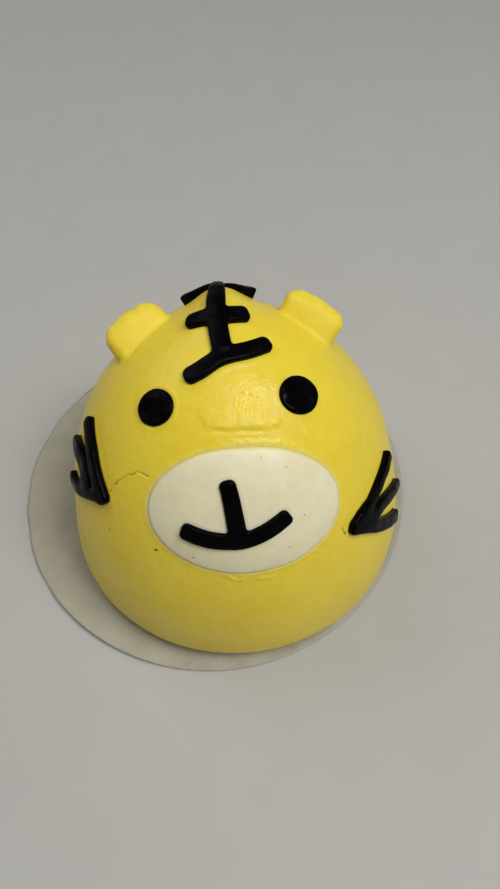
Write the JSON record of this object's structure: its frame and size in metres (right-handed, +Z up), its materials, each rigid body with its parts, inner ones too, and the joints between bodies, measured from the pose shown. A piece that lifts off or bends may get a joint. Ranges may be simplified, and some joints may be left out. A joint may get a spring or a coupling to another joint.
{
  "type": "tiger face steamed bun",
  "caption": "Domed steamed bun made as a tiger's face, with tab ears, round eyes, an oval pale muzzle and black dough stripes, on its round sheet of steaming paper.",
  "frame": {"origin": "middle of the paper's underside, on the surface the bun stands on", "axes": "+Z up, -Y the way the face looks, +X to the right of someone who looks at the face"},
  "size_m": [0.109, 0.109, 0.0733],
  "materials": {
    "yellow_dough": "smooth steamed dough, slightly moist",
    "pale_dough": "smooth steamed dough, slightly moist",
    "black_dough": "smooth dark dough with a soft sheen",
    "paper": "thin matte steaming paper"
  },
  "bodies": {
    "root": {"bun_body": "yellow_dough", "muzzle": "pale_dough", "mouth": "black_dough", "eye_left": "black_dough", "eye_right": "black_dough", "forehead_mark": "black_dough", "cheek_mark_left": "black_dough", "cheek_mark_right": "black_dough", "ear_left": "yellow_dough", "ear_right": "yellow_dough", "paper_liner": "paper"}
  },
  "joints": []
}
